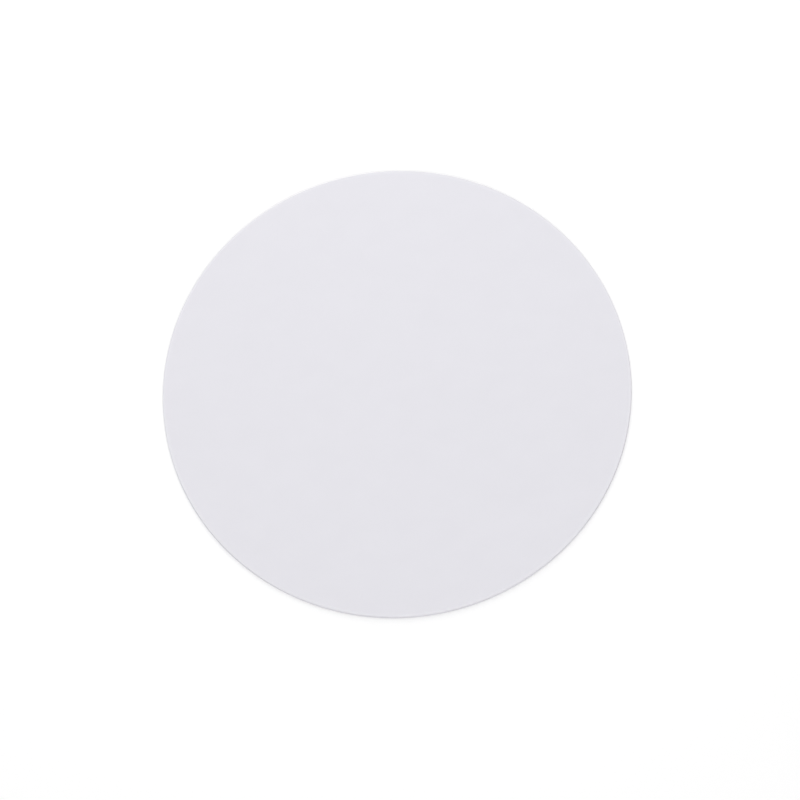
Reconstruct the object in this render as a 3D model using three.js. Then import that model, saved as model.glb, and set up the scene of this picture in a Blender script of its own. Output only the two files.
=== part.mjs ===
// A round cake board: one disc of white solid board, die-cut from the sheet, smooth on both faces.
// Millimetres, +Z up. The origin is the centre of the underside, where the board rests on the table.

import * as THREE from "three";

// The disc as cut
const boardDiameter = 203;
const boardThickness = 2;

// The rim as the cutting rule leaves it. The blade comes down from the upper face, so it draws that
// liner over into a soft shoulder, and the side leans out a little towards the underside.
const shoulderRadius = 0.45;
const undersideEdgeRadius = 0.15;
const sideTaper = 0.12;

// How finely the round forms are faceted
const segmentsAround = 256;
const shoulderSteps = 4;
const undersideEdgeSteps = 2;

const coatedBoard = new THREE.MeshStandardMaterial({
  name: "coated_white_board",
  color: new THREE.Color().setRGB(0.902, 0.898, 0.922, THREE.SRGBColorSpace),
  roughness: 0.62,
  metalness: 0,
});

// Half of the board's section, seen from the side: x is the radius and y the height. It leaves the axis
// along the underside, goes round the lower edge, up the leaning side and over the shoulder, and comes
// back to the axis along the upper face.
function boardSection() {
  const rimRadius = boardDiameter / 2;
  const lean = Math.atan2(sideTaper, boardThickness - shoulderRadius - undersideEdgeRadius);

  const lowerArc = {
    centre: new THREE.Vector2(rimRadius - undersideEdgeRadius, undersideEdgeRadius),
    radius: undersideEdgeRadius,
    from: -Math.PI / 2,
    to: lean,
    steps: undersideEdgeSteps,
  };
  const shoulderArc = {
    centre: new THREE.Vector2(
      rimRadius - sideTaper - shoulderRadius,
      boardThickness - shoulderRadius,
    ),
    radius: shoulderRadius,
    from: lean,
    to: Math.PI / 2,
    steps: shoulderSteps,
  };

  return [
    new THREE.Vector2(0, 0),
    ...arcPoints(lowerArc),
    ...arcPoints(shoulderArc),
    new THREE.Vector2(0, boardThickness),
  ];
}

// Points along a round stretch of the section, both ends included.
function arcPoints({ centre, radius, from, to, steps }) {
  return Array.from({ length: steps + 1 }, (_, i) => {
    const angle = from + ((to - from) * i) / steps;
    return new THREE.Vector2(Math.cos(angle), Math.sin(angle)).multiplyScalar(radius).add(centre);
  });
}

// The section turned through a full circle. The lathe spins about Y, so the mesh is stood up onto Z.
function cakeBoard() {
  const board = new THREE.Mesh(
    new THREE.LatheGeometry(boardSection(), segmentsAround),
    coatedBoard,
  );
  board.name = "cake_board";
  board.rotation.x = Math.PI / 2;
  return board;
}

const part = new THREE.Group();
part.add(cakeBoard());

export default part;
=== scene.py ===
# %% [markdown]
# # A round white cake board
# The object is one disc of white solid board, cut from a flat sheet with a steel rule die. It is so plain
# that its looks rest on three small things: the true form of the cut rim, the way the coated face takes
# the light, and a thin soft shadow at its foot. Each gets its own cells below. All lengths are in metres.

# %% The fixed frame
import math

import bpy
import numpy as np
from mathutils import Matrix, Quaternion, Vector


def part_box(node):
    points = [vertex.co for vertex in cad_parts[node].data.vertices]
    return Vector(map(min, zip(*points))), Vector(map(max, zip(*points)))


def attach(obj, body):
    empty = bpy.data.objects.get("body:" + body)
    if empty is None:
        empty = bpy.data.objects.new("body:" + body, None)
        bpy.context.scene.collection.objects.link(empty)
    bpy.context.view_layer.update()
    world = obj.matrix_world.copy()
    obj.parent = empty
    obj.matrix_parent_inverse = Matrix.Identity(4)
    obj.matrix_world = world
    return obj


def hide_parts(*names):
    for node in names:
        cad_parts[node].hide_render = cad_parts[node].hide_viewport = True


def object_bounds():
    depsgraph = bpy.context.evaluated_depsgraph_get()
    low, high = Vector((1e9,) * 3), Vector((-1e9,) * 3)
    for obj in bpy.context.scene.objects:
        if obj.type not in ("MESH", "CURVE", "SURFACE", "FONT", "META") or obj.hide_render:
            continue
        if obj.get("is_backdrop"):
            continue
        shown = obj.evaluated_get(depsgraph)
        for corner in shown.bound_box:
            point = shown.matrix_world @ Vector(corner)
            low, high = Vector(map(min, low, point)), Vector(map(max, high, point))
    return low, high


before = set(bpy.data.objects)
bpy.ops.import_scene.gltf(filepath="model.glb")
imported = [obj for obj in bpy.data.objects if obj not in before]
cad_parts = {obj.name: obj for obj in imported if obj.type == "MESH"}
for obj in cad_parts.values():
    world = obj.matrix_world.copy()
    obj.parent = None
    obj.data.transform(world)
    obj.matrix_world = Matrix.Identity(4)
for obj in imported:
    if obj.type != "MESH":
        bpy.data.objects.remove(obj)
cad_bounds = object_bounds()
BOARD_NODE = "cake_board"
MM = 0.001

low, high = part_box(BOARD_NODE)
board_radius = (high.x - low.x) / 2
print(f"board: {2 * board_radius / MM:.1f} mm across, {(high.z - low.z) / MM:.1f} mm thick")

# %% [markdown]
# ## The camera
# The photograph looks steeply down on the board with a slightly rolled camera, so its outline is an
# ellipse that is a little wider than it is high and leans a few degrees. The camera could be placed by
# eye, but an ellipse fitted to the outline gives the angles: its height over its width is the sine of the
# elevation, and its lean is the roll. The outline's width gives the lens. Its middle isn't quite the
# board's own centre, because the nearer half looks larger, so a formula gives the small difference.

# %% How a circle looks from above
def ellipse_of_circle(radius, distance, elevation):
    """For a lens of length 1, a circle of radius r seen from distance d at elevation e is an ellipse of
    width 2 r / sqrt(d² - r² cos² e). Its middle lies r² sin e cos e / (d² - r² cos² e) below the centre."""
    slant = distance**2 - (radius * math.cos(elevation)) ** 2
    width = 2 * radius / math.sqrt(slant)
    drop = radius**2 * math.sin(elevation) * math.cos(elevation) / slant
    return width, drop


CAMERA_DISTANCE = 1.2
CAMERA_ELEVATION = math.radians(71.85)
seen_width, seen_drop = ellipse_of_circle(board_radius, CAMERA_DISTANCE, CAMERA_ELEVATION)
print(f"the outline's middle lies {seen_drop * CAMERA_DISTANCE / MM:.2f} mm below the board's centre")

# %% Place the camera
FRAME_PX = 800
OUTLINE_WIDTH_PX = 470.0
OUTLINE_MIDDLE_PX = (397.1, 393.9)
CAMERA_ROLL = math.radians(-9.4)
SENSOR_WIDTH_MM = 36.0

lens_px = OUTLINE_WIDTH_PX / seen_width
metres_per_px = CAMERA_DISTANCE / lens_px
towards_camera = Vector((0, -math.cos(CAMERA_ELEVATION), math.sin(CAMERA_ELEVATION)))
level_turn = (-towards_camera).to_track_quat("-Z", "Y")
camera_turn = level_turn @ Quaternion((0, 0, 1), CAMERA_ROLL)

outline_middle = Vector((0, 0, high.z)) - level_turn @ Vector((0, seen_drop * CAMERA_DISTANCE, 0))
middle_offset = Vector((FRAME_PX / 2 - OUTLINE_MIDDLE_PX[0], OUTLINE_MIDDLE_PX[1] - FRAME_PX / 2, 0))
aim = outline_middle + camera_turn @ (middle_offset * metres_per_px)

camera_data = bpy.data.cameras.new("camera")
camera_data.sensor_width = SENSOR_WIDTH_MM
camera_data.lens = SENSOR_WIDTH_MM * lens_px / FRAME_PX
camera = bpy.data.objects.new("camera", camera_data)
camera.rotation_mode = "QUATERNION"
camera.rotation_quaternion = camera_turn
camera.location = aim + towards_camera * CAMERA_DISTANCE
bpy.context.scene.collection.objects.link(camera)
bpy.context.scene.camera = camera
print(f"camera: lens {camera_data.lens:.1f} mm at {CAMERA_DISTANCE} m")

# %% [markdown]
# ## The section of the rim
# A steel rule die comes down from the upper face. It draws the upper liner over into a soft shoulder,
# leaves a side that leans out slightly, and ends in a nearly sharp lower edge. The frame already holds
# that section, as rings of points at a few heights, so the rim's sizes are measured there instead of
# being written a second time. The tallest step between two rings is the side of the cut.

# %% Measure the rim in the frame
node_points = np.array([v.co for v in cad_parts[BOARD_NODE].data.vertices])
point_heights = node_points[:, 2]
point_radii = np.hypot(node_points[:, 0], node_points[:, 1])
SAME_HEIGHT = 1e-6

ring_heights = np.unique(np.round(point_heights, 6))
ring_radii = np.array([point_radii[np.abs(point_heights - z) < SAME_HEIGHT].max() for z in ring_heights])
rings = np.column_stack([ring_radii, ring_heights])

side_step = int(np.argmax(np.diff(ring_heights)))
under_rim, foot, head, upper_rim = rings[0], rings[side_step], rings[side_step + 1], rings[-1]
for place, ring in zip(("under rim", "foot", "head", "upper rim"), (under_rim, foot, head, upper_rim)):
    print(f"{place}: {ring[0] / MM:.2f} mm from the axis, {ring[1] / MM:.2f} mm up")

# %% [markdown]
# ## The board's surface
# The board could be a cylinder with a Bevel modifier, but then both edges would be alike and the shading
# would bend all the way across the face. Here it is a surface of two numbers instead: how far along the
# section, and how far around. The section runs from the middle of the underside out to the rim, round
# the lower edge, up the side, over the shoulder and back to the middle of the face. Round stretches are
# quarters of an ellipse, and on the flats the points crowd towards the rim, where the form changes.

# %% The section as a curve
def quarter(flat_point, side_point, steps):
    """Quarter of an ellipse, from the flat to the side: radius = flat + (side - flat) sin a and
    height = side + (flat - side) cos a, for a from 0 to 90 degrees."""
    a = np.linspace(0, np.pi / 2, steps)
    radius = flat_point[0] + (side_point[0] - flat_point[0]) * np.sin(a)
    height = side_point[1] + (flat_point[1] - side_point[1]) * np.cos(a)
    return np.column_stack([radius, height])


def flat(rim_point, steps):
    """Points on the level of the rim point: radius = rim sin a, for a evenly from 0 to 90 degrees, so
    that the points crowd towards the rim. Both ends are left out."""
    a = np.linspace(0, np.pi / 2, steps + 2)[1:-1]
    return np.column_stack([rim_point[0] * np.sin(a), np.full(steps, rim_point[1])])


def straight(start, end, steps):
    """Evenly spaced points strictly between two points: start + (end - start) t."""
    t = np.linspace(0, 1, steps + 2)[1:-1, None]
    return start + (end - start) * t


section = np.vstack([
    flat(under_rim, steps=16),
    quarter(under_rim, foot, steps=6),
    straight(foot, head, steps=14),
    quarter(upper_rim, head, steps=10)[::-1],
    flat(upper_rim, steps=32)[::-1],
])
section_radius, section_height = section[:, :1], section[:, 1:]
print(f"section: {len(section)} points between its two ends on the axis")

# %% [markdown]
# ## What the mill and the die leave behind
# A sheet of board is never quite even: its thickness varies by a few hundredths of a millimetre over the
# width of a hand, which shows only when light grazes the face. The cut side is a little ragged, because
# fibres tear as the blade leaves. Both could be left to a bump map, but a bump map moves nothing, so they
# are put into the shape: for the sheet a mean of a few cosine waves, and for the side a sum of cosines
# around the rim, with whole numbers of waves so that the ends of the circle meet.

# %% The sheet's unevenness
SEED = 7
dice = np.random.default_rng(SEED)
SHEET_WAVELENGTHS = (34 * MM, 47 * MM, 61 * MM, 88 * MM)
sheet_directions = dice.uniform(0, 2 * np.pi, len(SHEET_WAVELENGTHS))
sheet_phases = dice.uniform(0, 2 * np.pi, len(SHEET_WAVELENGTHS))


def sheet_unevenness(x, y):
    """Mean of cosines of the distance along a few directions, brought to the range 0 to 1."""
    total = np.zeros_like(x)
    for wavelength, direction, phase in zip(SHEET_WAVELENGTHS, sheet_directions, sheet_phases):
        along = x * np.cos(direction) + y * np.sin(direction)
        total += np.cos(2 * np.pi * along / wavelength + phase)
    return 0.5 + 0.5 * total / len(SHEET_WAVELENGTHS)


print("the sheet has waves of", [round(w / MM) for w in SHEET_WAVELENGTHS], "mm")

# %% The cut's raggedness
RIM_WAVES = 40
FEWEST_ROUND, MOST_ROUND = 12, 240
TWIST = 2.5
waves_round = dice.integers(FEWEST_ROUND, MOST_ROUND, RIM_WAVES)
wave_phases = dice.uniform(0, 2 * np.pi, RIM_WAVES)
wave_twists = dice.uniform(-TWIST, TWIST, RIM_WAVES)


def rim_raggedness(angle, up):
    """Sum of cosines of n times the angle, each turned a little with the height, over its own spread,
    brought to the range 0 to 1 by cutting it off at twice the spread."""
    total = np.zeros(np.broadcast(angle, up).shape)
    for n, phase, twist in zip(waves_round, wave_phases, wave_twists):
        total += np.cos(n * angle + phase + twist * up)
    spread = math.sqrt(RIM_WAVES / 2)
    return np.clip(0.5 + 0.25 * total / spread, 0, 1)


print(f"the cut has {RIM_WAVES} waves, {waves_round.min()} to {waves_round.max()} times around")

# %% [markdown]
# ## Carry the section around
# The points of every ring are worked out at once as arrays: one row for each point of the section, one
# column for each direction around. The raggedness only takes material away and the unevenness only goes
# inwards, so the board never outgrows its frame.

# %% The points
STEPS_AROUND = 960
CUT_DEPTH = 0.04 * MM
FACE_DIP = 0.03 * MM
UNDERSIDE_RISE = 0.015 * MM

angles = np.linspace(0, 2 * np.pi, STEPS_AROUND, endpoint=False)[None, :]
up_the_side = np.clip((section_height - foot[1]) / (head[1] - foot[1]), 0, 1)
on_the_side = np.sin(np.pi * up_the_side)
radius = section_radius - CUT_DEPTH * on_the_side * rim_raggedness(angles, up_the_side)
x = radius * np.cos(angles)
y = radius * np.sin(angles)

inwards = np.where(section_height > high.z / 2, -FACE_DIP, UNDERSIDE_RISE)
z = section_height + inwards * (1 - on_the_side) * sheet_unevenness(x, y)
print(f"{x.size} points in {len(section)} rings of {STEPS_AROUND}")

# %% [markdown]
# ## Close it into a mesh
# Neighbouring rings are joined by quads, and the two poles on the axis by fans of triangles, so the board
# is one closed body whose faces all point outwards. A mesh can also carry numbers of its own at every
# point. Two are stored here for the finish: cut_side is 1 on the bare side of the cut and falls to 0 where
# the coated liner begins, and pressed_rim_and_highlight is 1 on the narrow band that the die presses
# smooth. That band also carries a painted highlight: a slightly lighter colour.

# %% The mesh
def closed_turned_mesh(name, x, y, z, first_pole, last_pole):
    """One closed mesh from rings of points. Quad (i, j) joins ring i to ring i + 1 and step j to j + 1,
    and each pole is joined to its ring by a fan, all wound so that the faces point outwards."""
    ring_count, around = x.shape
    points = np.vstack([first_pole, np.stack([x, y, z], axis=-1).reshape(-1, 3), last_pole])
    index = 1 + np.arange(ring_count * around).reshape(ring_count, around)
    ahead = np.roll(index, -1, axis=1)
    quads = np.stack([index[:-1], ahead[:-1], ahead[1:], index[1:]], axis=-1).reshape(-1, 4)
    first_fan = np.column_stack([np.zeros(around, int), ahead[0], index[0]])
    last_fan = np.column_stack([np.full(around, len(points) - 1), index[-1], ahead[-1]])
    mesh = bpy.data.meshes.new(name)
    mesh.from_pydata(points, [], [*first_fan.tolist(), *quads.tolist(), *last_fan.tolist()])
    mesh.polygons.foreach_set("use_smooth", np.ones(len(mesh.polygons), bool))
    mesh.update()
    return mesh


board_mesh = closed_turned_mesh(
    "die_cut_board", x, y, z, (0, 0, low.z + UNDERSIDE_RISE), (0, 0, high.z - FACE_DIP)
)
print(f"die_cut_board: {sum(len(face.vertices) - 2 for face in board_mesh.polygons)} triangles")

# %% The numbers that the finish reads
LINER_REACH = 0.6
PRESSED_WIDTH = 0.9 * MM


def store_by_ring(mesh, name, ring_values):
    """Gives every point of a ring the ring's value, and both poles 0."""
    values = np.concatenate([[0.0], np.repeat(ring_values.ravel(), STEPS_AROUND), [0.0]])
    mesh.attributes.new(name, "FLOAT", "POINT").data.foreach_set("value", values.astype(np.float32))


liner_edge = head[1] + LINER_REACH * (upper_rim[1] - head[1])
below_liner = np.clip((liner_edge - section_height) / (liner_edge - head[1]), 0, 1)
above_underside = np.clip(section_height / foot[1], 0, 1)
store_by_ring(board_mesh, "cut_side", below_liner * above_underside)

inside_rim = np.clip(1 - (upper_rim[0] - section_radius) / PRESSED_WIDTH, 0, 1)
# The pressed band also carries the painted highlight, a slightly lighter colour along the rim.
store_by_ring(board_mesh, "pressed_rim_and_highlight", inside_rim * (1 - below_liner))
print("stored:", [a.name for a in board_mesh.attributes if a.name in ("cut_side", "pressed_rim_and_highlight")])

# %% [markdown]
# ## Hand the board to the frame
# The new mesh stands for the plain solid and rides on the frame's only body.

# %% Put it in the scene
board = bpy.data.objects.new("die_cut_board", board_mesh)
bpy.context.scene.collection.objects.link(board)
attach(board, "root")
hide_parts(BOARD_NODE)
print(board.name, "stands for", BOARD_NODE)

# %% [markdown]
# ## Shader sums as Python
# A finish is easier to read as a sum than as a picture of boxes and wires. One small class wraps an
# output socket, so that `1 - mask` or `tooth * 0.4` adds the Math node for it. The other class is the
# node tree of a material or of the world: every other node comes from its one method, which takes the
# node's type, its settings and what goes into its sockets.

# %% One output socket
class Signal:
    """A number, colour or vector that a node gives out. Arithmetic on it adds Math nodes."""

    def __init__(self, shading, socket):
        self.shading = shading
        self.socket = socket

    def _math(self, operation, first, second):
        return self.shading.node("ShaderNodeMath", {"operation": operation}, {0: first, 1: second})

    def __add__(self, other):
        return self._math("ADD", self, other)

    def __sub__(self, other):
        return self._math("SUBTRACT", self, other)

    def __rsub__(self, other):
        return self._math("SUBTRACT", other, self)

    def __mul__(self, other):
        return self._math("MULTIPLY", self, other)

    __radd__ = __add__
    __rmul__ = __mul__


print("signals can be added, subtracted and multiplied")

# %% One node tree
NOISE_CONTRAST = 1.8


class Shading:
    """The node tree of a material or of the world, written as sums of signals."""

    def __init__(self, owner):
        owner.use_nodes = True
        self.tree = owner.node_tree
        self.tree.nodes.clear()

    def node(self, kind, settings=None, sockets=None, output=0):
        """Adds a node, sets its settings first, fills its sockets and returns one output as a signal."""
        made = self.tree.nodes.new(kind)
        for setting, value in (settings or {}).items():
            setattr(made, setting, value)
        for socket, value in (sockets or {}).items():
            if isinstance(value, Signal):
                self.tree.links.new(value.socket, made.inputs[socket])
            else:
                made.inputs[socket].default_value = value
        return None if output is None else Signal(self, made.outputs[output])

    def noise(self, place, grain, detail=2.0):
        """Noise from 0 to 1 on the board's own coordinates. The grain is its size along X, Y and Z."""
        scale = tuple(1 / size for size in grain)
        scaled = self.node("ShaderNodeMapping", {"vector_type": "POINT"}, {"Vector": place, "Scale": scale})
        return self.node("ShaderNodeTexNoise", {}, {"Vector": scaled, "Scale": 1.0, "Detail": detail})

    def clear_noise(self, place, grain, detail=2.0):
        """Noise keeps close to its middle. This spreads it out: 0.5 + contrast (noise - 0.5)."""
        return 0.5 + NOISE_CONTRAST * (self.noise(place, grain, detail) - 0.5)

    def mix_colours(self, share, first, second):
        """Colour that goes from first to second as share goes from 0 to 1."""
        sockets = {0: share, 6: first, 7: second}
        return self.node("ShaderNodeMix", {"data_type": "RGBA"}, sockets, output=2)

    def seen_ray(self):
        """1 for rays from the camera and for glossy reflections, and 0 for the rays that carry light."""
        camera_ray = self.node("ShaderNodeLightPath", output="Is Camera Ray")
        return camera_ray + self.node("ShaderNodeLightPath", output="Is Glossy Ray")


print("a finish can be written as sums now")

# %% [markdown]
# ## The coated face
# The face is white board under a thin greaseproof coating: cool white, matte and almost even. Up close
# it has a fine tooth, fibres that lie mostly along the way the sheet ran through the mill, and a faint
# cloudiness from how the pulp settled. A picture texture could show that, but noise on the board's own
# coordinates needs no file and keeps its real size at any distance. Three noises of different grain are
# added in shares that come to 1. Along the rim the die has pressed a narrow band smooth, so it is less
# rough there. A painted highlight, a slightly lighter colour on that band, draws a thin pale line.

# %% Colour, roughness and relief of the face
FACE_WHITE = (0.805, 0.797, 0.845, 1)
FACE_CLOUD = (0.774, 0.765, 0.813, 1)
# Painted highlight: the pressed band along the rim gets a slightly lighter colour than the face.
RIM_PAINTED_HIGHLIGHT = (0.812, 0.805, 0.85, 1)
CLOUD_GRAIN = (14 * MM, 9 * MM, 9 * MM)
FIBRE_GRAIN = (1.8 * MM, 0.22 * MM, 0.22 * MM)
TOOTH_GRAIN = (0.28 * MM, 0.28 * MM, 0.28 * MM)
FACE_ROUGHNESS = 0.58
RIM_ROUGHNESS = 0.5
FIBRE_ROUGHNESS_SPREAD = 0.10
TOOTH_ROUGHNESS_SPREAD = 0.06
FACE_RELIEF = 0.03 * MM


def coated_face(shading, place, pressed_rim_and_highlight):
    """Colour, roughness and height of the coated face, as signals. The height is in metres."""
    cloud = shading.clear_noise(place, CLOUD_GRAIN, detail=3.0)
    fibres = shading.clear_noise(place, FIBRE_GRAIN, detail=3.0)
    tooth = shading.clear_noise(place, TOOTH_GRAIN)
    tone = 0.4 * cloud + 0.3 * fibres + 0.3 * tooth
    colour = shading.mix_colours(tone, FACE_WHITE, FACE_CLOUD)
    # Painted highlight: the lighter colour on the pressed band draws a thin pale line along the rim.
    colour = shading.mix_colours(pressed_rim_and_highlight, colour, RIM_PAINTED_HIGHLIGHT)
    uneven = FIBRE_ROUGHNESS_SPREAD * (fibres - 0.5) + TOOTH_ROUGHNESS_SPREAD * (tooth - 0.5)
    roughness = FACE_ROUGHNESS + uneven + (RIM_ROUGHNESS - FACE_ROUGHNESS) * pressed_rim_and_highlight
    height = FACE_RELIEF * (1 - pressed_rim_and_highlight) * (0.6 * tooth + 0.4 * fibres)
    return colour, roughness, height


print(f"face relief {FACE_RELIEF / MM:.3f} mm")

# %% [markdown]
# ## The bare cut
# The side of the cut has no coating. The plies that the mill pressed together show there as faint bands,
# the open fibres as fine streaks along the sheet, and the blade leaves short marks where it dragged down.
# All three are the same noise, drawn out along the sheet or across it. They change the tone a little and
# stand in relief, and the whole side is rougher than the face.

# %% Colour, roughness and relief of the cut
CUT_WHITE = (0.88, 0.87, 0.915, 1)
CUT_SHADE = (0.765, 0.753, 0.795, 1)
PLY_GRAIN = (16 * MM, 16 * MM, 0.36 * MM)
STREAK_GRAIN = (3.2 * MM, 3.2 * MM, 0.11 * MM)
DRAG_GRAIN = (0.35 * MM, 0.35 * MM, 3 * MM)
CUT_ROUGHNESS = 0.88
CUT_RELIEF = 0.035 * MM


def bare_cut(shading, place):
    """Colour, roughness and height of the cut side, as the face gives them."""
    plies = shading.clear_noise(place, PLY_GRAIN, detail=1.0)
    streaks = shading.clear_noise(place, STREAK_GRAIN, detail=3.0)
    drag = shading.clear_noise(place, DRAG_GRAIN)
    tone = 0.4 * plies + 0.35 * streaks + 0.25 * drag
    relief = 0.3 * plies + 0.4 * streaks + 0.3 * drag
    return shading.mix_colours(tone, CUT_SHADE, CUT_WHITE), CUT_ROUGHNESS, CUT_RELIEF * relief


print(f"cut relief {CUT_RELIEF / MM:.3f} mm")

# %% [markdown]
# ## One finish for the whole board
# Face and cut could be two materials on two sets of faces, but then they would meet in a hard line. Here
# they are one material instead. The number cut_side on the mesh is the share of the cut's colour,
# roughness and relief at each point, so the liner gives way to the open fibres over a short stretch.

# %% The board's finish
COATED_IOR = 1.45


def coated_white_board():
    """The coated face and the bare cut in one material, parted by the number cut_side on the mesh."""
    material = bpy.data.materials.new("coated_white_board")
    shading = Shading(material)
    place = shading.node("ShaderNodeTexCoord", output="Object")
    cut = shading.node("ShaderNodeAttribute", {"attribute_name": "cut_side"}, output="Fac")
    # The pressed band's number sets the smoother rim and the painted highlight there.
    pressed_rim_and_highlight = shading.node("ShaderNodeAttribute", {"attribute_name": "pressed_rim_and_highlight"}, output="Fac")

    face_colour, face_roughness, face_height = coated_face(shading, place, pressed_rim_and_highlight)
    cut_colour, cut_roughness, cut_height = bare_cut(shading, place)
    colour = shading.mix_colours(cut, face_colour, cut_colour)
    roughness = face_roughness * (1 - cut) + cut_roughness * cut
    height = face_height * (1 - cut) + cut_height * cut

    bump = shading.node("ShaderNodeBump", {}, {"Height": height, "Distance": 1.0, "Strength": 1.0})
    sockets = {"Base Color": colour, "Roughness": roughness, "Normal": bump, "IOR": COATED_IOR}
    surface = shading.node("ShaderNodeBsdfPrincipled", {}, sockets)
    shading.node("ShaderNodeOutputMaterial", {}, {"Surface": surface}, output=None)
    return material


board_mesh.materials.append(coated_white_board())
print(board_mesh.materials[0].name, "has", len(board_mesh.materials[0].node_tree.nodes), "nodes")

# %% [markdown]
# ## The floor
# The board in the photograph is cut out on white. A white floor gives the same ground, and keeps the thin
# shadow that shows how thick the board is. Only the camera and the coating's faint reflection see it as
# pure white: to every other ray it is a pale grey, so that it throws no more light on the board than a
# real table would. Far from the board, where the lamps don't reach, it is lifted more, so that the ground
# stays plain from every side.

# %% A white floor
FLOOR_SEEN = (0.97, 0.97, 0.97, 1)
FLOOR_GREY = (0.78, 0.78, 0.78, 1)
FLOOR_LIFT = (0.09, 0.09, 0.09, 1)
FAR_LIFT = (0.5, 0.5, 0.5, 1)
NO_LIFT = (0, 0, 0, 1)
LIFT_GROWS_FROM, LIFT_GROWS_TO = 0.35, 0.85
FLOOR_ROUGHNESS = 0.9
FLOOR_HALF_WIDTH = 6.0
FLOOR_GAP = 0.02 * MM


def white_floor():
    """Grey to the rays that carry light, and white with a small lift to the rays that see it. The lift
    grows evenly between two distances from the middle."""
    material = bpy.data.materials.new("white_floor")
    shading = Shading(material)
    seen = shading.seen_ray()
    place = shading.node("ShaderNodeTexCoord", output="Object")
    distance = shading.node("ShaderNodeVectorMath", {"operation": "LENGTH"}, {0: place}, output="Value")
    far_share = (distance - LIFT_GROWS_FROM) * (1 / (LIFT_GROWS_TO - LIFT_GROWS_FROM))
    lift = shading.mix_colours(far_share, FLOOR_LIFT, FAR_LIFT)
    sockets = {
        "Base Color": shading.mix_colours(seen, FLOOR_GREY, FLOOR_SEEN),
        "Roughness": FLOOR_ROUGHNESS,
        "Specular IOR Level": 0.0,
        "Emission Color": shading.mix_colours(seen, NO_LIFT, lift),
        "Emission Strength": 1.0,
    }
    surface = shading.node("ShaderNodeBsdfPrincipled", {}, sockets)
    shading.node("ShaderNodeOutputMaterial", {}, {"Surface": surface}, output=None)
    return material


floor_mesh = bpy.data.meshes.new("floor")
corners = FLOOR_HALF_WIDTH * np.array([[-1, -1, 0], [1, -1, 0], [1, 1, 0], [-1, 1, 0]])
floor_mesh.from_pydata(corners - [0, 0, FLOOR_GAP], [], [(0, 1, 2, 3)])
floor_mesh.materials.append(white_floor())
floor = bpy.data.objects.new("floor", floor_mesh)
bpy.context.scene.collection.objects.link(floor)
floor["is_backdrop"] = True
print(f"floor: {2 * FLOOR_HALF_WIDTH:.0f} m square")

# %% [markdown]
# ## The light
# The face in the photograph is a little brighter at its far edge than at its near one, and the shadow is
# soft and thin all round. So more than half of the light is even and comes from all sides. Three large
# soft lamps give the rest: one high up and a little behind the board, one low behind it, which leaves the
# shadow along the near rim, and one further off in front, which lights the side of the cut there. Together
# they light the face at a level at which a colour renders as it is written.

# %% The world
SKY_AT_HORIZON = 0.47
SKY_AT_ZENITH = 0.65
SKY_SEEN = 1.0


def studio_world():
    """Light from all sides that grows with the height in the sky. What sees it sees plain white."""
    world = bpy.data.worlds.new("studio")
    shading = Shading(world)
    direction = shading.node("ShaderNodeTexCoord", output="Generated")
    up = shading.node("ShaderNodeSeparateXYZ", {}, {0: direction}, output="Z")
    sky = SKY_AT_HORIZON + (SKY_AT_ZENITH - SKY_AT_HORIZON) * up
    seen = shading.seen_ray()
    sockets = {"Color": (1, 1, 1, 1), "Strength": seen * SKY_SEEN + (1 - seen) * sky}
    background = shading.node("ShaderNodeBackground", {}, sockets)
    shading.node("ShaderNodeOutputWorld", {}, {"Surface": background}, output=None)
    return world


bpy.context.scene.world = studio_world()
bpy.context.scene.view_settings.view_transform = "Standard"
sky_share = SKY_AT_HORIZON / 3 + SKY_AT_ZENITH * 2 / 3
print(f"the sky gives {sky_share:.2f} of the light on the face")

# %% The lamps
def soft_lamp(name, share, azimuth, elevation, distance, width):
    """A round lamp that gives the face the named share of its light. Its power follows from
    power = share pi² d² / sin e, for a lamp that faces the board from distance d at elevation e."""
    azimuth, elevation = math.radians(azimuth), math.radians(elevation)
    towards_lamp = Vector((
        math.cos(elevation) * math.sin(azimuth),
        math.cos(elevation) * math.cos(azimuth),
        math.sin(elevation),
    ))
    lamp_data = bpy.data.lights.new(name, "AREA")
    lamp_data.shape = "DISK"
    lamp_data.size = width
    lamp_data.energy = share * (math.pi * distance) ** 2 / math.sin(elevation)
    lamp = bpy.data.objects.new(name, lamp_data)
    lamp.location = towards_lamp * distance
    lamp.rotation_mode = "QUATERNION"
    lamp.rotation_quaternion = (-towards_lamp).to_track_quat("-Z", "Y")
    bpy.context.scene.collection.objects.link(lamp)
    print(f"{name}: {lamp_data.energy:.1f} W gives {share:.2f} of the light on the face")


soft_lamp("lamp_above", share=0.165, azimuth=0, elevation=68, distance=0.85, width=0.6)
soft_lamp("lamp_behind", share=0.10, azimuth=0, elevation=30, distance=0.95, width=0.8)
soft_lamp("lamp_in_front", share=0.17, azimuth=180, elevation=45, distance=3.0, width=1.4)

# %% [markdown]
# ## Close the scene
# The last cell prints the box of the imported model and the box of what is shown, so that the two can
# be compared.

# %% Sizes
boxes = {"cad": cad_bounds, "visual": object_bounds()}
for name, (box_low, box_high) in boxes.items():
    print(f"{name}:", " x ".join(f"{(b - a) / MM:.2f}" for a, b in zip(box_low, box_high)), "mm")
